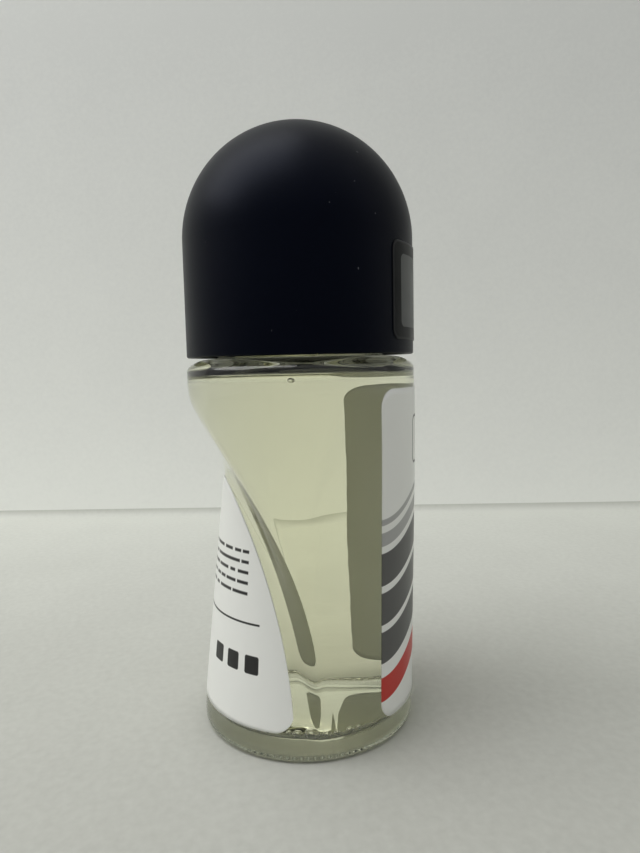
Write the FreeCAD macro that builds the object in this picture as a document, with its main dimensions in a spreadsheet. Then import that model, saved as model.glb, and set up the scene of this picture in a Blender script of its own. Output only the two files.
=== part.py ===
import FreeCAD, Part
import math
import os
import re

import Sketcher
from FreeCAD import Vector

# Roll-on bottle: a glass body with an arched grip panel at the back, a plastic fitment that holds
# the roller ball, and a domed screw cap. The origin is on the bottle's axis at the standing face,
# +Z is up, the front label faces -Y and the grip panel faces +Y. Lengths in mm, angles in degrees.

DIMENSIONS = {
    # Roller ball and its fitment
    "ball_radius": 12.7,
    "ball_wall": 1.2,
    "ball_clearance": 0.15,
    "ball_rise": 6.0,
    "cup_wall": 1.05,
    "lip_rise": 3.6,
    "port_radius": 8.5,
    "plug_length": 1.56,
    "plug_clearance": 0.05,
    "collar_thickness": 1.3,
    "collar_overhang": 0.3,
    # Glass neck and its thread
    "neck_margin": 0.4,
    "neck_wall": 2.0,
    "neck_length": 10.6,
    "neck_root_round": 0.9,
    "neck_rim_round": 0.5,
    "thread_depth": 0.95,
    "thread_base_width": 1.5,
    "thread_crest_width": 0.7,
    "thread_pitch": 3.0,
    "thread_rise": 2.2,
    "thread_top_margin": 2.1,
    "insert_thread_top_margin": 2.85,
    "thread_clearance": 0.25,
    "thread_bite": 0.3,
    # Cap: outer shell, threaded insert and seal pad
    "insert_wall": 1.2,
    "insert_lift": 0.4,
    "insert_flange_thickness": 1.2,
    "insert_flange_drop": 0.4,
    "insert_space": 1.75,
    "insert_clearance": 0.05,
    "cap_wall": 1.55,
    "cap_gap": 0.2,
    "cap_dome_rise": 3.2,
    "cap_edge_round": 0.4,
    "seal_radius": 7.1,
    "seal_step_width": 1.1,
    "seal_step": 0.55,
    "seal_clearance": 0.15,
    "socket_wall": 0.8,
    "socket_catch": 0.45,
    "socket_catch_height": 0.5,
    # Glass body
    "shoulder_overhang": 0.1,
    "shoulder_height": 64.9,
    "shoulder_round": 2.3,
    "body_taper": 1.0,
    "body_taper_margin": 14.9,
    "heel_height": 2.5,
    "heel_round": 1.2,
    "glass_wall": 2.1,
    "floor_height": 3.3,
    "floor_round": 3.0,
    "floor_dome_rise": 1.8,
    "ceiling_thickness": 1.9,
    "ceiling_round": 2.5,
    "base_recess_margin": 3.6,
    "base_recess_depth": 1.2,
    # Grip panel at the back of the body
    "waist_radius": 14.2,
    "panel_centre_height": 8.0,
    "panel_top_margin": 4.9,
    "panel_wall_rise": 15.0,
    "panel_foot_angle": 74.0,
    "panel_wall_angle": 11.0,
    # Liquid
    "liquid_headspace": 3.1,
    "liquid_clearance": 0.1,
    # Labels
    "label_gap": 0.05,
    "label_thickness": 0.1,
    "front_label_half_angle": 63.7,
    "front_label_bottom_margin": 2.0,
    "front_label_top_margin": 5.4,
    "front_label_corner": 3.0,
    "back_label_side_angle": 3.5,
    "back_label_apex_margin": 0.7,
    "back_label_bottom_margin": 2.4,
    "back_label_corner": 3.5,
    "sticker_half_angle": 54.4,
    "sticker_bottom_margin": 2.3,
    "sticker_height": 15.6,
    "sticker_corner": 1.5,
    # Cutting tools run past the faces that they cut by this much
    "overrun": 2.0,
}

# Sizes worked out from the driving dimensions, from the ball outwards and from the base up
DERIVED = {
    "seat_radius": "ball_radius + ball_clearance",
    "cup_radius": "seat_radius + cup_wall",
    "neck_radius": "cup_radius + neck_margin",
    "neck_bore_radius": "neck_radius - neck_wall",
    "plug_radius": "neck_bore_radius - plug_clearance",
    "collar_radius": "cup_radius + collar_overhang",
    "insert_bore_radius": "neck_radius + thread_depth + thread_clearance",
    "insert_radius": "insert_bore_radius + insert_wall",
    "cap_bore_radius": "insert_radius + insert_space",
    "cap_radius": "cap_bore_radius + cap_wall",
    "flange_radius": "cap_bore_radius - insert_clearance",
    "body_radius": "cap_radius + shoulder_overhang",
    "heel_radius": "body_radius - body_taper",
    "neck_top": "shoulder_height + neck_length",
    "ball_height": "neck_top + ball_rise",
    "collar_top": "neck_top + collar_thickness",
    "port_height": "ball_height - sqrt(seat_radius ^ 2 - port_radius ^ 2)",
    "plug_bottom": "port_height - plug_length",
    "lip_height": "ball_height + lip_rise",
    "lip_radius": "sqrt(seat_radius ^ 2 - lip_rise ^ 2)",
    "cap_bottom": "shoulder_height + cap_gap",
    "dome_height": "ball_height + cap_dome_rise",
    "insert_bottom": "cap_bottom + insert_lift",
    "lower_flange_top": "insert_bottom + insert_flange_thickness",
    "upper_flange_top": "ball_height - insert_flange_drop",
    "upper_flange_bottom": "upper_flange_top - insert_flange_thickness",
    "neck_thread_height": "shoulder_height + thread_rise",
    "insert_thread_height": "neck_thread_height + thread_pitch / 2",
    "neck_thread_rise": "neck_length - thread_rise - thread_top_margin",
    "insert_thread_rise": "neck_length - thread_rise - thread_pitch / 2 - insert_thread_top_margin",
    "seal_bottom_radius": "seat_radius",
    "seal_top_radius": "insert_bore_radius - seal_clearance",
    "seal_face_radius": "seal_radius - seal_step_width",
    "seal_face_height": "ball_height + sqrt(seal_bottom_radius ^ 2 - seal_face_radius ^ 2)",
    "seal_step_height": "seal_face_height + seal_step",
    "seal_shoulder_height": "ball_height + sqrt(seal_top_radius ^ 2 - seal_radius ^ 2)",
    "socket_radius": "seal_radius + seal_clearance",
    "socket_outer_radius": "socket_radius + socket_wall",
    "socket_catch_radius": "socket_radius - socket_catch",
    "socket_catch_top": "seal_step_height - seal_clearance",
    "socket_catch_bottom": "socket_catch_top - socket_catch_height",
    "socket_root_height": "ball_height + sqrt(insert_bore_radius ^ 2 - socket_radius ^ 2)",
    "socket_outer_root_height": "ball_height + sqrt(insert_bore_radius ^ 2 - socket_outer_radius ^ 2)",
    "ceiling_height": "shoulder_height - ceiling_thickness",
    "liquid_level": "shoulder_height - liquid_headspace",
    "recess_radius": "heel_radius - base_recess_margin",
    "recess_sphere_radius": "(recess_radius ^ 2 + base_recess_depth ^ 2) / (2 * base_recess_depth)",
    "floor_dome_reach": "heel_radius - glass_wall - floor_round",
    "floor_sphere_radius": "(floor_dome_reach ^ 2 + floor_dome_rise ^ 2) / (2 * floor_dome_rise)",
    "panel_edge_angle": "panel_foot_angle + panel_wall_angle",
    "panel_edge_rise": "shoulder_height - panel_top_margin - panel_centre_height",
    "panel_foot_rise": "panel_edge_rise - panel_wall_rise",
    "waist_height": "panel_centre_height + panel_foot_rise",
    "panel_slope": "(heel_radius - waist_radius) / (waist_height - heel_height)",
    "body_taper_height": "shoulder_height - body_taper_margin",
    "side_slope": "body_taper / (body_taper_height - heel_height)",
    "label_lift": "label_gap + label_thickness",
    "front_label_bottom": "heel_height + front_label_bottom_margin",
    "front_label_top": "shoulder_height - front_label_top_margin",
    "back_label_bottom": "heel_height + back_label_bottom_margin",
    "back_label_top": "waist_height - back_label_apex_margin",
    "back_label_half_angle": "panel_foot_angle - back_label_side_angle",
    "back_label_rise": "back_label_top - heel_height",
    "sticker_bottom": "cap_bottom + sticker_bottom_margin",
    "sticker_top": "sticker_bottom + sticker_height",
}

FULL_TURN = 360.0

# The neck's thread has several starts, each a part of a turn long, and the insert's thread fits it
THREAD_STARTS = 3

# How finely the glass body's form is sampled: points in each level section, then sections from the heel
# to the waist, up the panel's wall, and in the plain bands below and above the panel
SECTION_POINTS = 96
PANEL_SECTION_COUNT = 16
WALL_SECTION_COUNT = 10
BAND_SECTION_COUNT = 3

# The arches that bound the grip panel's wall are half ellipses, a little more pointed than true ones
PANEL_ARCH_POWER = 1.85

# Points along the back label's arch, which is a true half ellipse
ARCH_POINTS = 33

doc = FreeCAD.newDocument("roll_on_bottle")
sheet = doc.addObject("Spreadsheet::Sheet", "dimensions")
for row, (alias, size) in enumerate(DIMENSIONS.items(), start=1):
    sheet.set(f"A{row}", alias)
    sheet.set(f"B{row}", str(size))
    sheet.setAlias(f"B{row}", alias)
doc.recompute()


def formula(text):
    """The text with each size's name replaced by its cell, and each derived size spelled out."""

    def spelled(match):
        word = match.group(0)
        if word in DERIVED:
            return "(" + formula(DERIVED[word]) + ")"
        if word in DIMENSIONS:
            return "dimensions." + word
        return word

    return re.sub(r"[a-z_]+", spelled, text)


def value(text):
    """The number that a formula of sizes comes to."""
    return float(sheet.evalExpression(formula(text)))


def bind(thing, prop, text):
    thing.setExpression(prop, formula(text))


def origin_feature(body, role):
    return next(part for part in body.Origin.OriginFeatures if part.Role == role)


def new_body(label):
    body = doc.addObject("PartDesign::Body", label)
    body.Label = label
    return body


class Outline:
    """A closed sketch outline whose corners are bound to formulas.

    Each corner is (across, up), or (across, up, (centre across, centre up)) where an arc about that
    centre leads to the next corner.
    """

    def __init__(self, body, name, plane, corners):
        self.sketch = body.newObject("Sketcher::SketchObject", name)
        self.sketch.AttachmentSupport = [(origin_feature(body, plane), "")]
        self.sketch.MapMode = "FlatFace"
        self.ends = []
        for index, corner in enumerate(corners):
            self.add_side(corner, corners[(index + 1) % len(corners)])
        for index, corner in enumerate(corners):
            before = self.ends[index - 1][1]
            here = self.ends[index][0]
            self.sketch.addConstraint(Sketcher.Constraint("Coincident", *before, *here))
            self.pin(here, corner[0], corner[1])

    def add_side(self, corner, following):
        start = Vector(value(corner[0]), value(corner[1]), 0)
        end = Vector(value(following[0]), value(following[1]), 0)
        if len(corner) == 2:
            side = self.sketch.addGeometry(Part.LineSegment(start, end))
            self.ends.append(((side, 1), (side, 2)))
            return
        centre = Vector(value(corner[2][0]), value(corner[2][1]), 0)
        start_angle = math.atan2(start.y - centre.y, start.x - centre.x)
        end_angle = math.atan2(end.y - centre.y, end.x - centre.x)
        circle = Part.Circle(centre, Vector(0, 0, 1), start.distanceToPoint(centre))
        forward = (start - centre).cross(end - centre).z > 0
        if forward:
            side = self.sketch.addGeometry(Part.ArcOfCircle(circle, start_angle, end_angle))
            self.ends.append(((side, 1), (side, 2)))
        else:
            side = self.sketch.addGeometry(Part.ArcOfCircle(circle, end_angle, start_angle))
            self.ends.append(((side, 2), (side, 1)))
        chord = end - start
        if abs(chord.y) > abs(chord.x):
            self.pin_axis((side, 3), "DistanceX", corner[2][0])
        else:
            self.pin_axis((side, 3), "DistanceY", corner[2][1])

    def pin(self, point, across, up):
        self.pin_axis(point, "DistanceX", across)
        self.pin_axis(point, "DistanceY", up)

    def pin_axis(self, point, kind, text):
        if kind == "DistanceX" and text == "0":
            self.sketch.addConstraint(Sketcher.Constraint("PointOnObject", *point, -2))
            return
        constraint = Sketcher.Constraint(kind, -1, 1, *point, value(text))
        bind(self.sketch, f"Constraints[{self.sketch.addConstraint(constraint)}]", text)


def spin(body, name, corners, plane="XZ_Plane", half_angle=None):
    """Turn an outline about the vertical axis, all round or by half an angle to each side."""
    outline = Outline(body, name + "_outline", plane, corners)
    turned = body.newObject("PartDesign::Revolution", name)
    turned.Profile = outline.sketch
    turned.ReferenceAxis = (outline.sketch, ["V_Axis"])
    if half_angle is None:
        turned.Angle = FULL_TURN
    else:
        turned.Midplane = True
        bind(turned, "Angle", f"2 * {half_angle}")
    return turned


def add_thread(body, name, root, crest, middle, climb):
    """Helical ridges, one for each start, from a root radius to a crest radius, with a climb."""
    corners = [
        (root, f"{middle} - thread_base_width / 2"),
        (crest, f"{middle} - thread_crest_width / 2"),
        (crest, f"{middle} + thread_crest_width / 2"),
        (root, f"{middle} + thread_base_width / 2"),
    ]
    outline = Outline(body, name + "_outline", "XZ_Plane", corners)
    ridge = body.newObject("PartDesign::AdditiveHelix", name)
    ridge.Profile = outline.sketch
    ridge.ReferenceAxis = (outline.sketch, ["V_Axis"])
    ridge.Mode = "pitch-turns-angle"
    lead = f"(thread_pitch * {THREAD_STARTS})"
    bind(ridge, "Pitch", lead)
    bind(ridge, "Turns", f"{climb} / {lead}")
    doc.recompute()
    starts = body.newObject("PartDesign::PolarPattern", name + "_starts")
    starts.Originals = [ridge]
    starts.Axis = (origin_feature(body, "Z_Axis"), [""])
    starts.Angle = FULL_TURN
    starts.Occurrences = THREAD_STARTS
    body.Tip = starts


# Glass body: sections of the body's outside, drawn in by an inset for its cavity

def side_radius(height):
    """Radius of the round front and sides: upright at the shoulder, tapering to the heel."""
    drop = max(value("body_taper_height") - max(height, value("heel_height")), 0)
    return value("body_radius") - drop * value("side_slope")


def panel_radius(height):
    """Radius of the grip panel: a cone that narrows from the heel to the waist."""
    climb = min(max(height, value("heel_height")), value("waist_height")) - value("heel_height")
    return value("heel_radius") - climb * value("panel_slope")


def arch_reach(turn, height, half_angle, rise):
    """How far out a place is between an arch's centre, 0, and its line, 1, in turn and height."""
    climb = max(height - value("panel_centre_height"), 0)
    across = (turn / value(half_angle)) ** PANEL_ARCH_POWER
    up = (climb / value(rise)) ** PANEL_ARCH_POWER
    return (across + up) ** (1 / PANEL_ARCH_POWER)


def panel_wall_share(turn, height):
    """0 on the grip panel, 1 on the round side, rising across the arched wall between them."""
    foot_reach = arch_reach(turn, height, "panel_foot_angle", "panel_foot_rise")
    edge_reach = arch_reach(turn, height, "panel_edge_angle", "panel_edge_rise")
    if foot_reach <= 1:
        return 0.0
    if edge_reach >= 1:
        return 1.0
    share = (1 - 1 / foot_reach) / (1 / edge_reach - 1 / foot_reach)
    return share * share * (3 - 2 * share)


def body_section(height, inset):
    """One level outline of the body, as a closed spline that starts under the front label."""
    side = side_radius(height)
    panel = panel_radius(height)
    points = []
    for index in range(SECTION_POINTS):
        turn = FULL_TURN * index / SECTION_POINTS
        from_back = abs(turn - FULL_TURN / 2)
        radius = panel + (side - panel) * panel_wall_share(from_back, height) - inset
        angle = math.radians(turn)
        points.append(Vector(radius * math.sin(angle), -radius * math.cos(angle), height))
    spline = Part.BSplineCurve()
    steps = [index / SECTION_POINTS for index in range(SECTION_POINTS + 1)]
    spline.interpolate(Points=points, PeriodicFlag=True, Parameters=steps)
    return Part.Wire([spline.toShape()])


def rounded_ends(solid, bottom_round, top_round):
    """The solid with the edges of its flat bottom and top rounded."""
    lowest = min(solid.Edges, key=lambda edge: edge.BoundBox.ZMax)
    solid = solid.makeFillet(bottom_round, [lowest])
    highest = max(solid.Edges, key=lambda edge: edge.BoundBox.ZMin)
    return solid.makeFillet(top_round, [highest])


def spread(low, high, count):
    """Evenly spaced levels from a low one up to, but without, a high one."""
    return [low + (high - low) * step / count for step in range(count)]


def body_form(label, inset, bottom, top, bottom_round, top_round):
    """A solid of the body's form between two levels."""
    heel = value("heel_height")
    waist = value("waist_height")
    brow = value("panel_centre_height + panel_edge_rise")
    levels = spread(bottom, heel, BAND_SECTION_COUNT) if bottom < heel else []
    levels += spread(max(bottom, heel), waist, PANEL_SECTION_COUNT)
    levels += spread(waist, brow, WALL_SECTION_COUNT)
    levels += spread(brow, top, BAND_SECTION_COUNT) + [top]
    wires = [body_section(level, inset) for level in levels]
    form = doc.addObject("Part::Feature", label)
    form.Shape = rounded_ends(Part.makeLoft(wires, True), bottom_round, top_round)
    form.Placement = FreeCAD.Placement()
    return form


def combine(kind, label, base, tool):
    joined = doc.addObject(kind, label)
    joined.Base = base
    joined.Tool = tool
    joined.Label = label
    return joined


def floor_dome(label, clearance):
    """Sphere whose top is the dome in the middle of the bottle's floor, grown by a clearance."""
    dome = doc.addObject("Part::Sphere", label)
    bind(dome, "Radius", f"floor_sphere_radius + {clearance}")
    bind(dome, "Placement.Base.z", "floor_height + floor_dome_rise - floor_sphere_radius")
    return dome


def make_glass_bottle():
    blank = body_form(
        "body_blank", 0, 0, value("shoulder_height"), value("heel_round"), value("shoulder_round"))
    neck = new_body("neck_finish")
    spin(neck, "neck", [
        ("0", "ceiling_height"),
        ("neck_radius + neck_root_round", "ceiling_height"),
        ("neck_radius + neck_root_round", "shoulder_height",
         ("neck_radius + neck_root_round", "shoulder_height + neck_root_round")),
        ("neck_radius", "shoulder_height + neck_root_round"),
        ("neck_radius", "neck_top - neck_rim_round",
         ("neck_radius - neck_rim_round", "neck_top - neck_rim_round")),
        ("neck_radius - neck_rim_round", "neck_top"),
        ("0", "neck_top"),
    ])
    doc.recompute()
    add_thread(neck, "neck_thread", "neck_radius - thread_bite", "neck_radius + thread_depth",
               "neck_thread_height", "neck_thread_rise")
    cavity = body_form(
        "cavity", value("glass_wall"), value("floor_height"), value("ceiling_height"),
        value("floor_round"), value("ceiling_round"))
    bore = doc.addObject("Part::Cylinder", "neck_bore")
    bind(bore, "Radius", "neck_bore_radius")
    bind(bore, "Height", "neck_length + ceiling_thickness + 2 * overrun")
    bind(bore, "Placement.Base.z", "ceiling_height - overrun")
    recess = doc.addObject("Part::Sphere", "base_recess")
    bind(recess, "Radius", "recess_sphere_radius")
    bind(recess, "Placement.Base.z", "base_recess_depth - recess_sphere_radius")
    domed = combine("Part::Cut", "domed_cavity", cavity, floor_dome("floor_dome", 0))
    solid = combine("Part::Fuse", "bottle_solid", blank, neck)
    hollow = combine("Part::Cut", "bottle_hollow", solid, domed)
    bored = combine("Part::Cut", "bottle_bored", hollow, bore)
    return combine("Part::Cut", "glass_bottle", bored, recess)


def make_liquid_fill():
    gap = value("liquid_clearance")
    body = body_form(
        "liquid_body", value("glass_wall") + gap, value("floor_height") + gap,
        value("ceiling_height") - gap, value("floor_round"), value("ceiling_round"))
    headspace = doc.addObject("Part::Cylinder", "headspace")
    bind(headspace, "Radius", "body_radius + overrun")
    bind(headspace, "Height", "liquid_headspace + overrun")
    bind(headspace, "Placement.Base.z", "liquid_level")
    filled = combine("Part::Cut", "liquid_below_level", body, headspace)
    return combine("Part::Cut", "liquid_fill", filled, floor_dome("liquid_dome", "liquid_clearance"))


def make_ball_housing():
    """Plug in the neck's bore, collar on its rim, and a cup whose lip holds the ball."""
    housing = new_body("ball_housing")
    spin(housing, "fitment", [
        ("port_radius", "plug_bottom"),
        ("plug_radius", "plug_bottom"),
        ("plug_radius", "neck_top"),
        ("collar_radius", "neck_top"),
        ("collar_radius", "collar_top"),
        ("cup_radius", "collar_top"),
        ("cup_radius", "lip_height"),
        ("lip_radius", "lip_height", ("0", "ball_height")),
        ("port_radius", "port_height"),
    ])
    return housing


def make_roller_ball():
    """Hollow ball, its centre above the neck's rim."""
    ball = doc.addObject("Part::Sphere", "ball_outside")
    hollow = doc.addObject("Part::Sphere", "ball_inside")
    bind(ball, "Radius", "ball_radius")
    bind(hollow, "Radius", "ball_radius - ball_wall")
    for sphere in (ball, hollow):
        bind(sphere, "Placement.Base.z", "ball_height")
    return combine("Part::Cut", "roller_ball", ball, hollow)


def make_cap_shell():
    """Straight skirt and half-sphere dome, one wall thick, with a rounded lower edge."""
    shell = new_body("cap_shell")
    spin(shell, "dome", [
        ("cap_bore_radius", "cap_bottom"),
        ("cap_radius - cap_edge_round", "cap_bottom",
         ("cap_radius - cap_edge_round", "cap_bottom + cap_edge_round")),
        ("cap_radius", "cap_bottom + cap_edge_round"),
        ("cap_radius", "dome_height", ("0", "dome_height")),
        ("0", "dome_height + cap_radius"),
        ("0", "dome_height + cap_bore_radius", ("0", "dome_height")),
        ("cap_bore_radius", "dome_height"),
    ])
    return shell


def make_cap_insert():
    """Threaded sleeve with two flanges that fit the shell, and a crown that holds the seal pad."""
    insert = new_body("cap_insert")
    spin(insert, "sleeve", [
        ("insert_bore_radius", "insert_bottom"),
        ("flange_radius", "insert_bottom"),
        ("flange_radius", "lower_flange_top"),
        ("insert_radius", "lower_flange_top"),
        ("insert_radius", "upper_flange_bottom"),
        ("flange_radius", "upper_flange_bottom"),
        ("flange_radius", "upper_flange_top"),
        ("insert_radius", "upper_flange_top"),
        ("insert_radius", "ball_height", ("0", "ball_height")),
        ("0", "ball_height + insert_radius"),
        ("0", "ball_height + insert_bore_radius", ("0", "ball_height")),
        ("socket_radius", "socket_root_height"),
        ("socket_radius", "socket_catch_top"),
        ("socket_catch_radius", "socket_catch_top"),
        ("socket_catch_radius", "socket_catch_bottom"),
        ("socket_outer_radius", "socket_catch_bottom"),
        ("socket_outer_radius", "socket_outer_root_height", ("0", "ball_height")),
        ("insert_bore_radius", "ball_height"),
    ])
    doc.recompute()
    add_thread(insert, "insert_thread", "insert_bore_radius + thread_bite",
               "insert_bore_radius - thread_depth", "insert_thread_height", "insert_thread_rise")
    return insert


def make_cap_seal():
    """Pad that fits the ball below and the crown above, with a step that the catch holds."""
    seal = new_body("cap_seal")
    spin(seal, "pad", [
        ("0", "ball_height + seal_bottom_radius", ("0", "ball_height")),
        ("seal_face_radius", "seal_face_height"),
        ("seal_face_radius", "seal_step_height"),
        ("seal_radius", "seal_step_height"),
        ("seal_radius", "seal_shoulder_height", ("0", "ball_height")),
        ("0", "ball_height + seal_top_radius"),
    ])
    return seal


def corner_cutters(label, facing, radius, half_turn, levels, corner):
    """Blocks that round the corners of a curved sheet, each hollowed by the corner's own circle.

    The sheet faces the given turn about the axis, and levels holds each corner's height with +1 for
    an upper corner and -1 for a lower one.
    """
    reach = corner + value("overrun")
    inset_turn = half_turn - math.degrees(math.asin(corner / radius))
    up_axis = Vector(0, 0, 1)
    cutters = []
    for height, rise in levels:
        for side in (1, -1):
            nearest = Vector((side - 1) * reach / 2, radius - reach / 2, (rise - 1) * reach / 2)
            block = Part.makeBox(reach, reach, reach, nearest)
            round_hole = Part.makeCylinder(
                corner, 2 * reach, Vector(0, radius - reach, 0), Vector(0, 1, 0))
            cutter = block.cut(round_hole)
            cutter.rotate(Vector(), up_axis, facing - side * inset_turn)
            cutter.translate(Vector(0, 0, height - rise * corner))
            cutters.append(cutter)
    tool = doc.addObject("Part::Feature", label + "_corners")
    tool.Shape = Part.makeCompound(cutters)
    tool.Placement = FreeCAD.Placement()
    return tool


def make_front_label():
    """Sheet round the front of the body: upright above, following the taper below."""
    sheet_body = new_body("front_sheet")
    inside = "-(body_radius + label_gap{})"
    outside = "-(body_radius + label_lift{})"
    drop = " - (body_taper_height - front_label_bottom) * side_slope"
    spin(sheet_body, "front_wrap", [
        (inside.format(drop), "front_label_bottom"),
        (inside.format(""), "body_taper_height"),
        (inside.format(""), "front_label_top"),
        (outside.format(""), "front_label_top"),
        (outside.format(""), "body_taper_height"),
        (outside.format(drop), "front_label_bottom"),
    ], plane="YZ_Plane", half_angle="front_label_half_angle")
    levels = [(value("front_label_bottom"), -1), (value("front_label_top"), 1)]
    corners = corner_cutters(
        "front_label", FULL_TURN / 2, value("body_radius"), value("front_label_half_angle"), levels,
        value("front_label_corner"))
    return combine("Part::Cut", "front_label", sheet_body, corners)


def arch_curve(radius):
    """The back label's arch, drawn at one radius from the axis: over the top from side to side."""
    points = []
    for index in range(ARCH_POINTS):
        sweep = math.pi * index / (ARCH_POINTS - 1)
        turn = math.radians(value("back_label_half_angle") * math.cos(sweep))
        height = value("heel_height") + value("back_label_rise") * math.sin(sweep)
        points.append(Vector(radius * math.sin(turn), radius * math.cos(turn), height))
    curve = Part.BSplineCurve()
    curve.interpolate(points)
    return curve.toShape()


def make_back_label():
    """Sheet on the grip panel's cone, cut to an arch with rounded lower corners."""
    sheet_body = new_body("back_sheet")
    radius = "heel_radius + {} - ({} - heel_height) * panel_slope"
    spin(sheet_body, "back_wrap", [
        (radius.format("label_gap", "back_label_bottom"), "back_label_bottom"),
        (radius.format("label_lift", "back_label_bottom"), "back_label_bottom"),
        (radius.format("label_lift", "waist_height"), "waist_height"),
        (radius.format("label_gap", "waist_height"), "waist_height"),
    ], plane="YZ_Plane", half_angle="panel_foot_angle")
    doc.recompute()
    knife = Part.makeRuledSurface(
        arch_curve(value("waist_radius") - value("overrun")),
        arch_curve(value("heel_radius") + value("overrun")))
    pieces = sheet_body.Shape.generalFuse([knife])[0].Solids
    arched = doc.addObject("Part::Feature", "back_arched")
    arched.Shape = min(pieces, key=lambda piece: piece.BoundBox.ZMax)
    arched.Placement = FreeCAD.Placement()
    corners = corner_cutters(
        "back_label", 0, value("heel_radius"), value("back_label_half_angle"),
        [(value("back_label_bottom"), -1)], value("back_label_corner"))
    return combine("Part::Cut", "back_label", arched, corners)


def make_cap_sticker():
    """Clear film on the front of the cap's skirt."""
    sheet_body = new_body("sticker_sheet")
    spin(sheet_body, "sticker_wrap", [
        ("-(cap_radius + label_gap)", "sticker_bottom"),
        ("-(cap_radius + label_lift)", "sticker_bottom"),
        ("-(cap_radius + label_lift)", "sticker_top"),
        ("-(cap_radius + label_gap)", "sticker_top"),
    ], plane="YZ_Plane", half_angle="sticker_half_angle")
    levels = [(value("sticker_bottom"), -1), (value("sticker_top"), 1)]
    corners = corner_cutters(
        "cap_sticker", FULL_TURN / 2, value("cap_radius"), value("sticker_half_angle"), levels,
        value("sticker_corner"))
    return combine("Part::Cut", "cap_sticker", sheet_body, corners)


sub_parts = [
    make_glass_bottle(),
    make_liquid_fill(),
    make_ball_housing(),
    make_roller_ball(),
    make_cap_shell(),
    make_cap_insert(),
    make_cap_seal(),
    make_front_label(),
    make_back_label(),
    make_cap_sticker(),
]
doc.recompute()

for thing in doc.Objects:
    if "Invalid" in thing.State or "Error" in thing.State:
        raise RuntimeError(f"{thing.Label} failed: {thing.State}")
for sub_part in sub_parts:
    if sub_part.Shape.isNull() or not sub_part.Shape.isValid():
        raise RuntimeError(f"{sub_part.Label} has no valid shape")

os.makedirs("parts", exist_ok=True)
for sub_part in sub_parts:
    sub_part.Shape.exportStep(f"parts/{sub_part.Label}.step")
    box = sub_part.Shape.BoundBox
    print(f"{sub_part.Label}: {len(sub_part.Shape.Solids)} solid, {sub_part.Shape.Volume:.1f} mm3, "
          f"z {box.ZMin:.2f} to {box.ZMax:.2f}, reach {max(box.XMax, box.YMax):.2f}")
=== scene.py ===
import math

import bmesh
import bpy
import numpy as np
from mathutils import Matrix, Vector


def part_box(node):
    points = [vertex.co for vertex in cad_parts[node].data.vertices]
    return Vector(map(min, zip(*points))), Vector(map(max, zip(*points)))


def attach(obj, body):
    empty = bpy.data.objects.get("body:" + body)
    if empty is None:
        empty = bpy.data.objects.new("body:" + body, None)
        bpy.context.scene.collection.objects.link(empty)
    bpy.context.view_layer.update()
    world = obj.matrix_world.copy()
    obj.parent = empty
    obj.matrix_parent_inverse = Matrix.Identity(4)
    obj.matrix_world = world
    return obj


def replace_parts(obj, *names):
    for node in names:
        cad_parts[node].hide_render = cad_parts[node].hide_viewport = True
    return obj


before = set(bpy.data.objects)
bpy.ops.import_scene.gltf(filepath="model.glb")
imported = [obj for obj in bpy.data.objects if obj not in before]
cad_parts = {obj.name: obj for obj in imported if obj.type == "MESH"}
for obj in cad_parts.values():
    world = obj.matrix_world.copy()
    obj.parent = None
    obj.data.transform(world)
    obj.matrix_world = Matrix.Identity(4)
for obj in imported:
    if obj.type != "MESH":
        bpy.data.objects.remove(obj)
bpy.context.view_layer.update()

# Roll-on bottle: clear glass with an arched grip panel at the back, pale liquid, two printed labels and
# a matte domed cap. Lengths are in mm, in the part's frame: +Z up, front label at -Y, grip panel at +Y.

MM = 0.001


def span(node):
    """Lowest and highest corner of a solid, in mm."""
    low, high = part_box(node)
    return low / MM, high / MM


cap_low, cap_high = span("cap_shell")
liquid_low, liquid_high = span("liquid_fill")
front_low, front_high = span("front_label")
back_low, back_high = span("back_label")
sticker_low, sticker_high = span("cap_sticker")
neck_top = span("glass_bottle")[1].z

# Glass body, outside
cap_radius = cap_high.x
body_radius = cap_radius + 0.1
shoulder_height = cap_low.z - 0.2
shoulder_round = 2.3
shoulder_width = 4.6
heel_radius = body_radius - 1.0
heel_height = 2.5
heel_round = 1.2
taper_height = shoulder_height - 14.9
recess_radius = heel_radius - 3.6
recess_depth = 2.4
seam_height = 0.06
seam_top = 16.0
seam_least_share = 0.15
knurl_depth = 0.34
knurl_count = 96

# Grip panel: two arches, in turn and height, bound the wall between the panel and the round side
waist_radius = 14.2
panel_centre = 8.0
panel_edge_rise = shoulder_height - 4.9 - panel_centre
panel_foot_rise = panel_edge_rise - 15.0
panel_foot_angle = 74.0
panel_edge_angle = 85.0
arch_power = 1.85
waist_height = panel_centre + panel_foot_rise

# Glass neck and its three-start thread
neck_radius = 14.3
neck_bore_radius = 12.3
bore_bevel = 0.3
neck_root_round = 0.9
neck_rim_round = 0.5
thread_starts = 3
thread_lead = 9.0
thread_climb = 6.3
thread_height = shoulder_height + 2.2
thread_depth = 0.95
thread_base_width = 1.5
thread_crest_width = 0.7
thread_fade = 12.0

# Glass body, inside
glass_wall = 2.1
floor_height = liquid_low.z - 0.7
floor_round = 2.2
floor_dome_rise = 1.8
floor_dome_reach = heel_radius - glass_wall - floor_round
ceiling_height = shoulder_height - 1.9
ceiling_round = 2.3
ceiling_width = 4.4
ripple_height = 0.05

# Waves of the inner wall's ripple: share of the height, count round, turn for each mm of height, start
ripple_waves = (
    (1.0, 3, 0.21, 1.0),
    (1.0, 5, -0.13, 2.4),
    (1.0, 2, -0.34, 0.0),
    (1.0, 7, 0.08, 0.7),
    (0.45, 4, 0.9, 0.0),
    (0.3, 9, -1.7, 1.3),
)

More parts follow.
